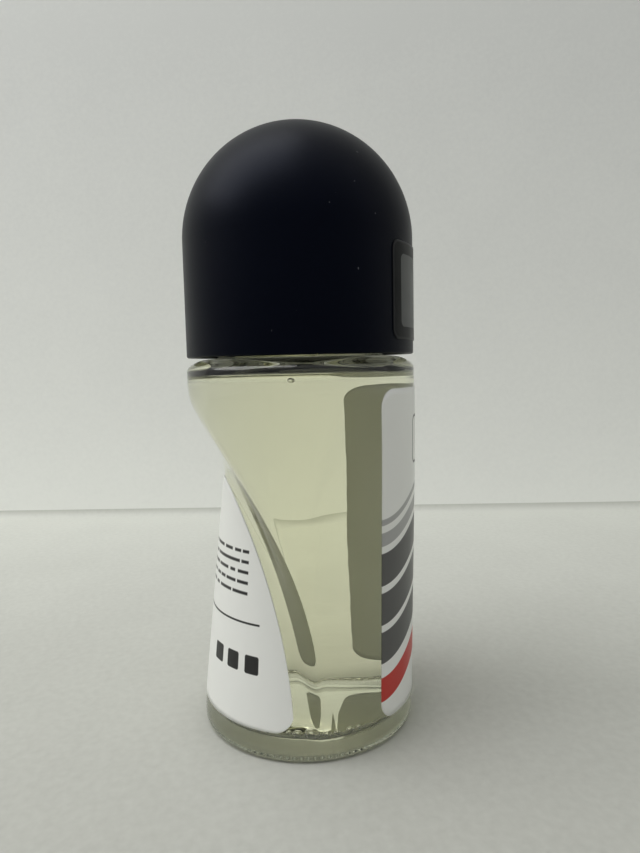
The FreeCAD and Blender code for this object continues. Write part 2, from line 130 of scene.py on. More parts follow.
# Liquid: it fills the cavity to its level and climbs the glass a little at its edge
liquid_level = liquid_high.z
meniscus_rise = 0.4
meniscus_width = 0.7
meniscus_insets = (0.12, 0.3, 0.55, 0.9, 1.4, 2.2, 4.0, 8.0, 13.0)
liquid_clearance = 0.02

# Labels are stuck down, so each sheet reaches just into the glass
label_bite = 0.03
label_lift = 0.12
label_least_height = 0.02
front_half_angle = 63.7
front_corner = 3.0
back_half_angle = 70.5
back_corner = 3.5
sticker_half_angle = 54.4
sticker_corner = 1.5
sticker_lift = 0.15
sticker_gap = 0.01
sticker_panel_inset = (2.45, 2.0)
sticker_panel_corner = 1.0
# Painted highlight: the film's lighter rim lies outside this inset and corner
sticker_highlight_inset = 0.35
sticker_highlight_corner = 1.3

# How finely the glass and the sheets are meshed
base_rings = 16
stippled_rings = 4
knurl_rings = 7
heel_rings = 8
side_rings = 60
shoulder_rings = 16
shoulder_flat_rings = 4
neck_root_rings = 6
neck_rings = 36
neck_rim_rings = 5
bore_rings = 8
ceiling_rings = 6
floor_rings = 12
floor_first_share = 0.06
floor_round_rings = 8
cavity_rings = 54
lip_rings = 8
sheet_rows = 48
front_label_columns = 81
back_label_columns = 121
sticker_columns = 61
bisect_steps = 40
column_count = 4 * knurl_count
columns = np.arange(column_count)
turns = columns * 360.0 / column_count - 180.0


# Mesh helpers

def ring(radius, height):
    """One closed ring of points; radius and height are numbers, or arrays with a value for each column."""
    angle = np.radians(turns)
    radius = np.broadcast_to(radius, angle.shape)
    height = np.broadcast_to(height, angle.shape)
    return np.stack([radius * np.sin(angle), -radius * np.cos(angle), height], axis=1)


def arc(across, up, radius, start, end, steps):
    """Points (across, up) of a profile's arc from a start to an end angle in degrees, without the last."""
    angles = np.radians(np.linspace(start, end, steps, endpoint=False))
    return [(across + radius * math.cos(a), up + radius * math.sin(a)) for a in angles]


def add_piece(name, points, faces, materials, face_materials=None, closed=True):
    """A smooth mesh object of points in mm; a closed one has its faces turned outwards."""
    mesh = bpy.data.meshes.new(name)
    mesh.from_pydata((np.asarray(points) * MM).tolist(), [], faces)
    for material in materials:
        mesh.materials.append(material)
    if face_materials is not None:
        mesh.polygons.foreach_set("material_index", face_materials)
    if closed:
        edit = bmesh.new()
        edit.from_mesh(mesh)
        bmesh.ops.recalc_face_normals(edit, faces=edit.faces)
        edit.to_mesh(mesh)
        edit.free()
    mesh.polygons.foreach_set("use_smooth", [True] * len(mesh.polygons))
    piece = bpy.data.objects.new(name, mesh)
    bpy.context.scene.collection.objects.link(piece)
    return piece


def lofted(name, rings, first, last, material, mark, ring_marks):
    """A closed mesh through rings, ended by two points; mark names an attribute of the faces, and
    ring_marks has its value for the faces that each ring starts.
    """
    points = np.concatenate([[first], *rings, [last]])
    count = len(rings[0])
    ahead = (np.arange(count) + 1) % count
    faces = []
    marks = []
    for column in range(count):
        faces.append((0, 1 + int(ahead[column]), 1 + column))
        marks.append(ring_marks[0])
    for index in range(len(rings) - 1):
        low = 1 + index * count
        high = low + count
        for column in range(count):
            beside = int(ahead[column])
            faces.append((low + column, low + beside, high + beside, high + column))
            marks.append(ring_marks[index])
    top = 1 + (len(rings) - 1) * count
    for column in range(count):
        faces.append((top + column, top + int(ahead[column]), len(points) - 1))
        marks.append(ring_marks[-1])
    piece = add_piece(name, points, faces, [material])
    piece.data.attributes.new(mark, "FLOAT", "FACE").data.foreach_set("value", marks)
    return piece


# Form of the glass

def arch_reach(from_back, height, half_angle, rise):
    """How far out a place is between an arch's centre, 0, and its line, 1."""
    climb = np.maximum(height - panel_centre, 0)
    return ((from_back / half_angle) ** arch_power + (climb / rise) ** arch_power) ** (1 / arch_power)


def glass_radius(turn, height):
    """Outside radius of the body; turn is in degrees from the front."""
    from_back = 180.0 - np.abs(turn)
    side_slope = (body_radius - heel_radius) / (taper_height - heel_height)
    side = body_radius - np.maximum(taper_height - np.maximum(height, heel_height), 0) * side_slope
    panel_slope = (heel_radius - waist_radius) / (waist_height - heel_height)
    panel = heel_radius - (np.clip(height, heel_height, waist_height) - heel_height) * panel_slope
    foot = np.maximum(arch_reach(from_back, height, panel_foot_angle, panel_foot_rise), 1.0)
    edge = np.minimum(arch_reach(from_back, height, panel_edge_angle, panel_edge_rise), 1.0)
    edge = np.maximum(edge, np.finfo(float).tiny)
    share = np.where(edge < 1, (1 - 1 / foot) / np.maximum(1 / edge - 1 / foot, 1e-9), 1.0)
    share = np.clip(share, 0, 1)
    return panel + (side - panel) * share * share * (3 - 2 * share)


def cavity_radius(turn, height):
    """Inside radius of the body, with the slight ripple of blown glass."""
    angle = np.radians(turn)
    ripple = 0.0
    for share, count, climb, start in ripple_waves:
        ripple = ripple + share * np.sin(count * angle + climb * height + start)
    return glass_radius(turn, height) - glass_wall + ripple_height * ripple


def thread_ridge(height):
    """How far the thread stands out of the neck at one height, for each column."""
    turn_about = turns + 270.0
    ridge = np.zeros(column_count)
    full_turn = 360.0 * thread_climb / thread_lead
    for start in range(thread_starts):
        along = (turn_about - start * 360.0 / thread_starts) % 360.0
        middle = thread_height + thread_lead * along / 360.0
        slope = (thread_base_width - thread_crest_width) / 2
        rise = np.clip((thread_base_width / 2 - np.abs(height - middle)) / slope, 0, 1)
        fade = np.clip(np.minimum(along, full_turn - along) / thread_fade, 0, 1)
        ridge = np.maximum(ridge, thread_depth * rise * fade)
    return ridge


def outer_rings():
    """Rings of the glass outside, from the base's centre to the neck's rim."""
    sphere = (recess_radius ** 2 + recess_depth ** 2) / (2 * recess_depth)
    rings = []
    for radius in np.linspace(recess_radius / base_rings, recess_radius, base_rings):
        rings.append(ring(radius, recess_depth - sphere + math.sqrt(sphere ** 2 - radius ** 2)))
    heel_centre = heel_radius - heel_round
    knurl = 0.5 - 0.5 * np.cos(np.radians(turns * knurl_count))
    for share in np.linspace(0, 1, knurl_rings + 2)[1:-1]:
        depth = knurl_depth * math.sin(math.pi * share)
        rings.append(ring(recess_radius + (heel_centre - recess_radius) * share, depth * knurl))
    for radius, height in arc(heel_centre, heel_round, heel_round, -90, 0, heel_rings):
        rings.append(ring(radius, height))
    seam = np.where(np.abs(np.abs(turns) - 90.0) < 180.0 / column_count, seam_height, 0.0)
    shoulder_centre = shoulder_height - shoulder_round
    for height in np.linspace(heel_round, shoulder_centre, side_rings, endpoint=False):
        fade = min(max((seam_top - height) / seam_top, seam_least_share), 1)
        rings.append(ring(glass_radius(turns, height) + seam * fade, height))
    for along, height in arc(0.0, shoulder_centre, shoulder_round, 0, 90, shoulder_rings):
        radius = body_radius - shoulder_width + along * shoulder_width / shoulder_round
        rings.append(ring(radius, height))
    root_radius = neck_radius + neck_root_round
    flat_radius = body_radius - shoulder_width
    for radius in np.linspace(flat_radius, root_radius, shoulder_flat_rings, endpoint=False):
        rings.append(ring(radius, shoulder_height))
    neck_bottom = shoulder_height + neck_root_round
    for radius, height in arc(root_radius, neck_bottom, neck_root_round, 270, 180, neck_root_rings):
        rings.append(ring(radius, height))
    for height in np.linspace(neck_bottom, neck_top - neck_rim_round, neck_rings, endpoint=False):
        rings.append(ring(neck_radius + thread_ridge(height), height))
    rim_radius = neck_radius - neck_rim_round
    for radius, height in arc(rim_radius, neck_top - neck_rim_round, neck_rim_round, 0, 90, neck_rim_rings):
        rings.append(ring(radius, height))
    rings.append(ring(rim_radius, neck_top))
    return rings


def dry_rings():
    """Rings of the glass inside above the liquid, from the bore's mouth down to the liquid's edge."""
    rings = []
    for height in np.linspace(neck_top, ceiling_height + bore_bevel, bore_rings):
        rings.append(ring(neck_bore_radius, height))
    flat_radius = body_radius - glass_wall - ceiling_width
    mouth_radius = neck_bore_radius + bore_bevel
    for radius in np.linspace(mouth_radius, flat_radius, shoulder_flat_rings, endpoint=False):
        rings.append(ring(radius, ceiling_height))
    return rings + wall_rings(liquid_level + meniscus_rise, ceiling_height, ceiling_rings)[::-1]


def wall_inset(height):
    """How far the cavity's rounded floor and ceiling edges draw its wall in."""
    low = max(floor_height + floor_round - height, 0)
    high = max(height - (ceiling_height - ceiling_round), 0)
    floor_inset = floor_round - math.sqrt(max(floor_round ** 2 - low ** 2, 0))
    ceiling_share = 1 - math.sqrt(max(1 - (high / ceiling_round) ** 2, 0))
    return floor_inset + ceiling_width * ceiling_share


def wall_rings(bottom, top, count, clearance=0.0):
    """Rings of the cavity's wall from a bottom level to a top one, drawn in by a clearance."""
    rings = []
    for height in np.linspace(bottom, top, count):
        rings.append(ring(cavity_radius(turns, height) - wall_inset(height) - clearance, height))
    return rings


def floor_dome(radius):
    """How far the dome in the middle of the floor rises, at a distance from the axis."""
    sphere = (floor_dome_reach ** 2 + floor_dome_rise ** 2) / (2 * floor_dome_rise)
    return np.maximum(np.sqrt(sphere ** 2 - radius ** 2) - sphere + floor_dome_rise, 0)


def wet_rings(clearance=0.0):
    """Rings of the cavity from its floor's centre up to the liquid's edge."""
    bottom = floor_height + clearance
    edge = cavity_radius(turns, floor_height) - floor_round - clearance
    rings = [ring(edge * share, bottom + floor_dome(edge * share))
             for share in np.linspace(floor_first_share, 1, floor_rings, endpoint=False)]
    for angle in np.radians(np.linspace(0, 90, floor_round_rings, endpoint=False)):
        height = floor_height + floor_round * (1 - math.cos(angle))
        radius = cavity_radius(turns, height) - wall_inset(height) - clearance
        rings.append(ring(radius, height + clearance * math.cos(angle)))
    lip = ceiling_height - ceiling_round
    rings += wall_rings(floor_height + floor_round, lip, cavity_rings, clearance)
    return rings + wall_rings(lip, liquid_level + meniscus_rise, lip_rings, clearance)[1:]


def make_glass(material):
    """The bottle: one closed mesh from the base's centre, over the rim, to the floor's centre."""
    outside = outer_rings() + dry_rings()
    inside = wet_rings()[::-1][1:]
    wetted = [0.0] * (len(outside) - 1) + [1.0] * (len(inside) + 1)
    for index in range(base_rings - 1 - stippled_rings, base_rings - 1):
        wetted[index] = -1.0
    first = (0, 0, recess_depth)
    last = (0, 0, floor_height + floor_dome_rise)
    piece = lofted("bottle_glass", outside + inside, first, last, material, "wetted", wetted)
    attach(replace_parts(piece, "glass_bottle"), "bottle")


def make_liquid(material):
    """The liquid, with its surface drawn up a little at the glass."""
    rings = wet_rings(liquid_clearance)
    open_marks = [0.0] * (len(rings) - 1) + [1.0]
    edge = liquid_level + meniscus_rise
    edge_radius = cavity_radius(turns, edge) - wall_inset(edge) - liquid_clearance
    for inset in meniscus_insets:
        rise = meniscus_rise * math.exp(-inset / meniscus_width)
        rings.append(ring(edge_radius - inset, liquid_level + rise))
        open_marks.append(1.0)
    first = (0, 0, floor_height + floor_dome_rise + liquid_clearance)
    last = (0, 0, liquid_level)
    piece = lofted("liquid", rings, first, last, material, "open_surface", open_marks)
    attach(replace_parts(piece, "liquid_fill"), "bottle")


# Labels: thin curved sheets with print coordinates, in mm, in a UV map

def rounded_edge(distance, corner):
    """How far a rounded corner draws an edge in, at a distance from the corner's side."""
    away = np.clip(corner - distance, 0, corner)
    return corner - np.sqrt(corner ** 2 - away ** 2)


def sheet_mesh(name, sheet_turns, bottoms, tops, radius_at, bite, lift, print_radius, materials):
    """A closed curved sheet: column by column between bottom and top heights, with UVs in mm."""
    rows = sheet_rows
    steps = np.linspace(0, 1, rows)
    turn = np.repeat(sheet_turns[:, None], rows, axis=1)
    height = bottoms[:, None] + (tops - bottoms)[:, None] * steps
    radius = radius_at(turn, height)
    count = len(sheet_turns)
    points = []
    for offset in (lift, -bite):
        away = radius + offset
        points.append(np.stack(
            [away * np.sin(np.radians(turn)), -away * np.cos(np.radians(turn)), height], axis=2))
    points = np.concatenate([layer.reshape(-1, 3) for layer in points])
    under = count * rows
    faces = []
    slots = []
    for column in range(count - 1):
        for row in range(rows - 1):
            here = column * rows + row
            quad = (here, here + rows, here + rows + 1, here + 1)
            faces.append(quad)
            slots.append(0)
            faces.append(tuple(under + corner for corner in reversed(quad)))
            slots.append(1)
    border = [column * rows for column in range(count)]
    border += [(count - 1) * rows + row for row in range(1, rows)]
    border += [column * rows + rows - 1 for column in range(count - 2, -1, -1)]
    border += [row for row in range(rows - 2, 0, -1)]
    for here, beside in zip(border, border[1:] + border[:1]):
        faces.append((here, beside, under + beside, under + here))
        slots.append(0)
    piece = add_piece(name, points, faces, materials, slots)
    middle = (sheet_turns[0] + sheet_turns[-1]) / 2
    across = np.radians(turn - middle).reshape(-1) * print_radius
    print_at = np.stack([np.tile(across, 2), np.tile(height.reshape(-1), 2)], axis=1)
    layer = piece.data.uv_layers.new(name="print")
    corners = np.zeros(len(piece.data.loops), dtype=np.int32)
    piece.data.loops.foreach_get("vertex_index", corners)
    layer.data.foreach_set("uv", print_at[corners].ravel())
    return piece


def eased(count):
    """Shares from 0 to 1 that crowd towards both ends."""
    return 0.5 - 0.5 * np.cos(np.linspace(0, math.pi, count))


def make_front_label(print_material, back_material):
    """The label wrapped round the front, with rounded corners."""
    spread = -front_half_angle + 2 * front_half_angle * eased(front_label_columns)
    distance = np.radians(front_half_angle - np.abs(spread)) * body_radius
    inset = rounded_edge(distance, front_corner)
    piece = sheet_mesh("front_print", spread, front_low.z + inset, front_high.z - inset, glass_radius,
                       label_bite, label_lift, body_radius, [print_material, back_material])
    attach(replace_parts(piece, "front_label"), "bottle")


def arch_height(from_back):
    """Top edge of the back label at a turn from the back."""
    share = np.clip(np.abs(from_back) / back_half_angle, 0, 1)
    return heel_height + (back_high.z - heel_height) * np.sqrt(1 - share ** 2)


def back_label_bottom(from_back):
    """Bottom edge of the back label, with its rounded corners."""
    distance = np.radians(back_half_angle - np.abs(from_back)) * heel_radius
    return back_low.z + rounded_edge(distance, back_corner)


def make_back_label(print_material, back_material):
    """The arched label on the grip panel; it ends where its arch meets its bottom edge."""
    inner, outer = 0.0, back_half_angle
    for _ in range(bisect_steps):
        middle = (inner + outer) / 2
        if arch_height(middle) > back_label_bottom(middle):
            inner = middle
        else:
            outer = middle
    spread = -inner + 2 * inner * eased(back_label_columns)
    bottoms = back_label_bottom(spread)
    tops = np.maximum(arch_height(spread), bottoms + label_least_height)
    piece = sheet_mesh("back_print", spread + 180.0, bottoms, tops, back_glass_radius,
                       label_bite, label_lift, heel_radius, [print_material, back_material])
    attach(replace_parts(piece, "back_label"), "bottle")


def back_glass_radius(turn, height):
    """The glass radius for turns that run on past the back."""
    return glass_radius((turn + 180.0) % 360.0 - 180.0, height)


def make_sticker(print_material):
    """The film on the front of the cap."""
    spread = -sticker_half_angle + 2 * sticker_half_angle * eased(sticker_columns)
    distance = np.radians(sticker_half_angle - np.abs(spread)) * cap_radius
    inset = rounded_edge(distance, sticker_corner)

    def cap_surface(turn, height):
        return np.full(turn.shape, cap_radius)

    piece = sheet_mesh("sticker_print", spread, sticker_low.z + inset, sticker_high.z - inset, cap_surface,
                       -sticker_gap, sticker_lift, cap_radius, [print_material, print_material])
    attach(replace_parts(piece, "cap_sticker"), "cap")


# Bubbles: each (turn from the front, distance from the wall, height above the floor, width, flatness)

bubbles = [
    (-86.0, 1.3, 0.75, 1.1, 0.8),
    (-92.0, 1.1, 0.85, 1.5, 0.75),
    (-95.5, 1.6, 0.6, 0.9, 0.9),
    (-100.0, 1.2, 0.95, 2.6, 0.62),
    (-109.0, 1.1, 0.8, 1.7, 0.7),
    (-114.5, 1.5, 0.7, 1.0, 0.85),
    (-78.0, 1.3, 0.8, 1.4, 0.75),
    (-72.0, 1.4, 0.7, 1.0, 0.8),
    (-127.0, 1.3, 0.8, 1.3, 0.75),
    (14.0, 1.3, 0.8, 1.3, 0.8),
    (-107.0, 0.7, liquid_level - floor_height - 0.5, 1.1, 0.7),
]


def make_bubbles(material):
    """Air bubbles in the liquid, most of them along the edge of the floor."""
    edit = bmesh.new()
    for turn, inset, rise, width, flatness in bubbles:
        height = floor_height + rise
        radius = float(cavity_radius(np.array(turn), height)) - wall_inset(height) - inset
        angle = math.radians(turn)
        place = Vector((radius * math.sin(angle), -radius * math.cos(angle), height))
        shape = Matrix.Diagonal((width / 2, width / 2, width / 2 * flatness, 1.0))
        matrix = Matrix.Translation(place) @ Matrix.Rotation(angle, 4, "Z") @ shape
        bmesh.ops.create_icosphere(edit, subdivisions=3, radius=1.0, matrix=Matrix.Scale(MM, 4) @ matrix)
    mesh = bpy.data.meshes.new("air_bubbles")
    edit.to_mesh(mesh)
    edit.free()
    mesh.materials.append(material)
    mesh.polygons.foreach_set("use_smooth", [True] * len(mesh.polygons))
    piece = bpy.data.objects.new("air_bubbles", mesh)
    bpy.context.scene.collection.objects.link(piece)
    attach(piece, "bottle")


# Materials

class Nodes:
    """A material's node tree, with short calls for the nodes that it needs."""

    def __init__(self, name):
        self.material = bpy.data.materials.new(name)
        self.material.use_nodes = True
        self.tree = self.material.node_tree
        self.surface = self.tree.nodes["Principled BSDF"]
        self.output = self.tree.nodes["Material Output"]

    def add(self, kind, **settings):
        node = self.tree.nodes.new(kind)
        for name, setting in settings.items():
            setattr(node, name, setting)
        return node

    def put(self, socket, source):
        if isinstance(source, bpy.types.NodeSocket):
            self.tree.links.new(source, socket)
        else:
            socket.default_value = source

    def set(self, **values):
        for name, setting in values.items():
            self.put(self.surface.inputs[name.replace("_", " ")], setting)

    def math(self, operation, first, second=0.0, clamp=False):
        node = self.add("ShaderNodeMath", operation=operation, use_clamp=clamp)
        self.put(node.inputs[0], first)
        self.put(node.inputs[1], second)
        return node.outputs[0]

    def mix(self, share, first, second):
        node = self.add("ShaderNodeMix", data_type="RGBA")
        self.put(node.inputs["Factor"], share)
        self.put(node.inputs["A"], first)
        self.put(node.inputs["B"], second)
        return node.outputs["Result"]

    def noise(self, scale, detail=2.0, roughness=0.5, vector=None):
        node = self.add("ShaderNodeTexNoise")
        node.inputs["Scale"].default_value = scale
        node.inputs["Detail"].default_value = detail
        node.inputs["Roughness"].default_value = roughness
        if vector is None:
            vector = self.add("ShaderNodeTexCoord").outputs["Object"]
        self.put(node.inputs["Vector"], vector)
        return node.outputs["Fac"]

    def ranged(self, source, low, high, to_low=0.0, to_high=1.0):
        node = self.add("ShaderNodeMapRange")
        self.put(node.inputs["Value"], source)
        for name, number in zip(("From Min", "From Max", "To Min", "To Max"), (low, high, to_low, to_high)):
            node.inputs[name].default_value = number
        return node.outputs["Result"]

    def bump(self, height, strength, distance):
        node = self.add("ShaderNodeBump")
        node.inputs["Strength"].default_value = strength
        node.inputs["Distance"].default_value = distance
        self.put(node.inputs["Height"], height)
        self.put(self.surface.inputs["Normal"], node.outputs["Normal"])

    def absorb(self, colour, density):
        node = self.add("ShaderNodeVolumeAbsorption")
        node.inputs["Color"].default_value = colour
        node.inputs["Density"].default_value = density
        self.put(self.output.inputs["Volume"], node.outputs["Volume"])

    def mark(self, name):
        """An attribute of the mesh's faces."""
        return self.add("ShaderNodeAttribute", attribute_name=name).outputs["Fac"]

    def print_place(self):
        node = self.add("ShaderNodeUVMap", uv_map="print")
        split = self.add("ShaderNodeSeparateXYZ")
        self.put(split.inputs[0], node.outputs["UV"])
        return split.outputs["X"], split.outputs["Y"]

    def band(self, place, low, high, soft=0.06):
        """1 between two places, 0 outside, with a soft edge."""
        rise = self.ranged(place, low - soft, low + soft)
        fall = self.ranged(place, high - soft, high + soft, 1.0, 0.0)
        return self.math("MULTIPLY", rise, fall)

    def panel(self, across, up, centre, half_size, corner, soft=0.06):
        """1 inside a rectangle with rounded corners."""
        reach = []
        for place, middle, half in zip((across, up), centre, half_size):
            away = self.math("ABSOLUTE", self.math("SUBTRACT", place, middle))
            reach.append(self.math("MAXIMUM", self.math("SUBTRACT", away, half - corner), 0.0))
        squares = [self.math("MULTIPLY", side, side) for side in reach]
        distance = self.math("SQRT", self.math("ADD", *squares))
        return self.ranged(distance, corner - soft, corner + soft, 1.0, 0.0)


glass_index = 1.52
glass_tint = (0.74, 0.78, 0.63, 1.0)
glass_density = 36.0
stipple_roughness = 0.42
liquid_index = 1.36
liquid_tint = (0.935, 0.92, 0.62, 1.0)
liquid_density = 23.0
cap_colours = ((0.0004, 0.0008, 0.0034, 1.0), (0.0007, 0.0012, 0.0046, 1.0))
cap_cast = (0.6, 0.7, 1.0, 1.0)
dust_grey = (0.10, 0.10, 0.11, 1.0)
film_dark = (0.0015, 0.002, 0.003, 1.0)
# Painted highlight along the film's rim
film_rim_highlight = (0.016, 0.017, 0.019, 1.0)
film_panel = (0.104, 0.109, 0.107, 1.0)


def glass_material():
    """Clear glass, stippled where it is marked -1 under its base; where the liquid wets it, marked 1,
    light bends only by the step from glass to liquid.
    """
    nodes = Nodes("clear_glass")
    nodes.set(Base_Color=(0.997, 0.998, 0.99, 1.0), Transmission_Weight=1.0)
    wetted = nodes.mark("wetted")
    nodes.set(IOR=nodes.ranged(wetted, 0.0, 1.0, glass_index, glass_index / liquid_index))
    nodes.set(Roughness=nodes.ranged(wetted, -1.0, 0.0, stipple_roughness, 0.0))
    nodes.bump(nodes.noise(90.0, 1.0), 0.012, 0.001)
    nodes.absorb(glass_tint, glass_density)
    return nodes.material


def liquid_material():
    """Pale liquid; the glass bends the light at its sides, so only its open surface does so here."""
    nodes = Nodes("pale_liquid")
    nodes.set(Base_Color=(1.0, 1.0, 1.0, 1.0), Roughness=0.0, Transmission_Weight=1.0)
    nodes.set(IOR=nodes.ranged(nodes.mark("open_surface"), 0.0, 1.0, 1.0, liquid_index))
    nodes.absorb(liquid_tint, liquid_density)
    return nodes.material


def bubble_material():
    """Air, seen from the liquid round it."""
    nodes = Nodes("air_bubble")
    glass = nodes.add("ShaderNodeBsdfGlass")
    glass.inputs["Roughness"].default_value = 0.0
    glass.inputs["IOR"].default_value = 1.0 / liquid_index
    nodes.put(nodes.output.inputs["Surface"], glass.outputs["BSDF"])
    nodes.tree.nodes.remove(nodes.surface)
    return nodes.material


def cap_material():
    """Matte moulded plastic, near black with a blue cast, with a few specks of dust."""
    nodes = Nodes("cap_matte")
    cloud = nodes.noise(55.0, 4.0, 0.6)
    dust = nodes.ranged(nodes.noise(900.0, 0.0), 0.86, 0.88)
    nodes.set(Base_Color=nodes.mix(dust, nodes.mix(cloud, *cap_colours), dust_grey))
    nodes.set(Roughness=nodes.ranged(cloud, 0.3, 0.7, 0.36, 0.42), Specular_IOR_Level=0.1)
    nodes.set(Specular_Tint=cap_cast)
    nodes.bump(nodes.noise(2600.0, 3.0, 0.7), 0.10, 0.0001)
    return nodes.material


def moulded_material(name, colour, shade, roughness):
    """Plain moulded plastic with a faint cloud in its colour and gloss."""
    nodes = Nodes(name)
    cloud = nodes.noise(70.0, 3.0)
    nodes.set(Base_Color=nodes.mix(cloud, colour, shade))
    nodes.set(Roughness=nodes.ranged(cloud, 0.3, 0.7, roughness - 0.05, roughness + 0.05))
    nodes.bump(nodes.noise(1800.0, 2.0), 0.05, 0.0001)
    return nodes.material


label_white = (0.895, 0.9, 0.862, 1.0)
label_shade = (0.865, 0.87, 0.832, 1.0)
print_grey = (0.095, 0.095, 0.092, 1.0)
print_pale = (0.42, 0.42, 0.41, 1.0)
print_red = (0.55, 0.028, 0.018, 1.0)
print_black = (0.012, 0.012, 0.012, 1.0)
adhesive_colours = ((0.84, 0.84, 0.80, 1.0), (0.88, 0.88, 0.84, 1.0))
label_glow = 0.55

# Front print, in mm: waves (low, high, ink), and a bare plate with a thin outline
wave_turn = 0.21
wave_swing = 2.2
front_waves = (
    (10.0, 14.2, print_red),
    (16.6, 22.0, print_grey),
    (23.2, 28.6, print_grey),
    (29.8, 35.2, print_grey),
    (36.4, 38.6, print_pale),
    (39.8, 40.8, print_pale),
)
plate_centre = (0.0, 50.5)
plate_half_size = (12.0, 4.2)
plate_corner = 1.6
plate_outline = 0.4

# Back print, in mm: rows of dashes, a rule and three squares
row_pitch = 1.7
row_band = (0.32, 0.64)
dash_rate = 0.8
rows_span = (25.6, 34.0)
rows_reach = 14.0
rule_span = (21.4, 21.75)
rule_reach = 17.0
square_places = (6.5, 11.0, 15.5)
square_height = 15.0
square_half = 1.5
square_corner = 0.4


def let_through(nodes, share):
    """Labels are thin, so some of the light on their other side shows."""
    through = nodes.add("ShaderNodeBsdfTranslucent")
    through.inputs["Color"].default_value = label_white
    both = nodes.add("ShaderNodeMixShader")
    nodes.put(both.inputs["Fac"], share)
    nodes.put(both.inputs[1], nodes.surface.outputs["BSDF"])
    nodes.put(both.inputs[2], through.outputs["BSDF"])
    nodes.put(nodes.output.inputs["Surface"], both.outputs["Shader"])


def label_stock(nodes, print_colour):
    """Satin film under a print."""
    cloud = nodes.noise(160.0, 4.0)
    nodes.set(Base_Color=print_colour, Roughness=nodes.ranged(cloud, 0.3, 0.7, 0.33, 0.43))
    nodes.bump(nodes.noise(1300.0, 2.0), 0.03, 0.0001)
    let_through(nodes, nodes.add("ShaderNodeNewGeometry").outputs["Backfacing"])


def front_print_material():
    """White film with grey waves and one red wave."""
    nodes = Nodes("front_label_print")
    across, up = nodes.print_place()
    wave = nodes.math("SINE", nodes.math("MULTIPLY", across, wave_turn))
    swing = nodes.math("MULTIPLY", wave, wave_swing)
    waved = nodes.math("ADD", up, swing)
    colour = nodes.mix(nodes.noise(240.0, 3.0), label_white, label_shade)
    for low, high, ink in front_waves:
        colour = nodes.mix(nodes.band(waved, low, high), colour, ink)
    for inset, ink in ((0.0, print_grey), (plate_outline, label_white)):
        half_size = [half - inset for half in plate_half_size]
        plate = nodes.panel(across, up, plate_centre, half_size, plate_corner - inset)
        colour = nodes.mix(plate, colour, ink)
    label_stock(nodes, colour)
    return nodes.material


def back_print_material():
    """White film with rows of plain dashes, a rule and three small squares."""
    nodes = Nodes("back_label_print")
    across, up = nodes.print_place()
    colour = nodes.mix(nodes.noise(240.0, 3.0), label_white, label_shade)
    row = nodes.math("DIVIDE", up, row_pitch)
    line = nodes.band(nodes.math("FRACT", row), *row_band)
    place = nodes.add("ShaderNodeCombineXYZ")
    nodes.put(place.inputs["X"], nodes.math("MULTIPLY", across, dash_rate))
    nodes.put(place.inputs["Y"], nodes.math("FLOOR", row))
    dashes = nodes.ranged(nodes.noise(1.0, 0.0, vector=place.outputs[0]), 0.39, 0.41)
    rows = nodes.math("MULTIPLY", nodes.math("MULTIPLY", line, dashes), nodes.band(up, *rows_span))
    margin = nodes.band(across, -rows_reach, rows_reach)
    marks = nodes.math("MULTIPLY", rows, margin)
    rule = nodes.math("MULTIPLY", nodes.band(up, *rule_span), nodes.band(across, -rule_reach, rule_reach))
    marks = nodes.math("MAXIMUM", marks, rule)
    for place in square_places:
        centre = (place, square_height)
        square = nodes.panel(across, up, centre, (square_half, square_half), square_corner)
        marks = nodes.math("MAXIMUM", marks, square)
    label_stock(nodes, nodes.mix(marks, colour, print_black))
    return nodes.material


def label_back_material():
    """Adhesive side of a label, seen through the glass."""
    nodes = Nodes("label_adhesive")
    cloud = nodes.noise(200.0, 4.0)
    nodes.set(Base_Color=nodes.mix(cloud, *adhesive_colours), Roughness=0.6)
    let_through(nodes, label_glow)
    return nodes.material


def sticker_material():
    """Clear film over the dark cap, with a pale grey panel printed on it and a lighter rim that is a
    painted highlight.
    """
    nodes = Nodes("sticker_film")
    across, up = nodes.print_place()
    middle = (sticker_low.z + sticker_high.z) / 2
    half_height = (sticker_high.z - sticker_low.z) / 2
    half_width = math.radians(sticker_half_angle) * cap_radius
    half_size = (half_width - sticker_panel_inset[0], half_height - sticker_panel_inset[1])
    panel = nodes.panel(across, up, (0.0, middle), half_size, sticker_panel_corner)
    # Outside this inset the film is lighter: a painted highlight on its rim
    half_size = (half_width - sticker_highlight_inset, half_height - sticker_highlight_inset)
    edge = nodes.panel(across, up, (0.0, middle), half_size, sticker_highlight_corner)
    film = nodes.mix(edge, film_rim_highlight, film_dark)
    nodes.set(Base_Color=nodes.mix(panel, film, film_panel), Specular_IOR_Level=0.12)
    nodes.set(Roughness=nodes.ranged(nodes.noise(220.0, 3.0), 0.3, 0.7, 0.34, 0.44))
    return nodes.material


def dress_solid(node, material):
    """Give a CAD solid that stays in view its own material."""
    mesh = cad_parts[node].data
    mesh.materials.clear()
    mesh.materials.append(material)


make_glass(glass_material())
make_liquid(liquid_material())
make_bubbles(bubble_material())
label_back = label_back_material()
make_front_label(front_print_material(), label_back)
make_back_label(back_print_material(), label_back)
make_sticker(sticker_material())
dress_solid("cap_shell", cap_material())
for solid, name, colour, shade, roughness in (
    ("cap_insert", "insert_white", (0.70, 0.70, 0.68, 1.0), (0.66, 0.66, 0.64, 1.0), 0.42),
    ("cap_seal", "seal_soft", (0.62, 0.62, 0.60, 1.0), (0.57, 0.57, 0.55, 1.0), 0.6),
    ("ball_housing", "fitment_white", (0.74, 0.74, 0.72, 1.0), (0.70, 0.70, 0.68, 1.0), 0.36),
    ("roller_ball", "ball_gloss", (0.80, 0.80, 0.79, 1.0), (0.77, 0.77, 0.76, 1.0), 0.14),
):
    dress_solid(solid, moulded_material(name, colour, shade, roughness))


# Stage, light and camera, laid out along the view and turned with it: the photograph looks at the
# bottle's left side, a little from behind. The wall isn't quite square to the view.

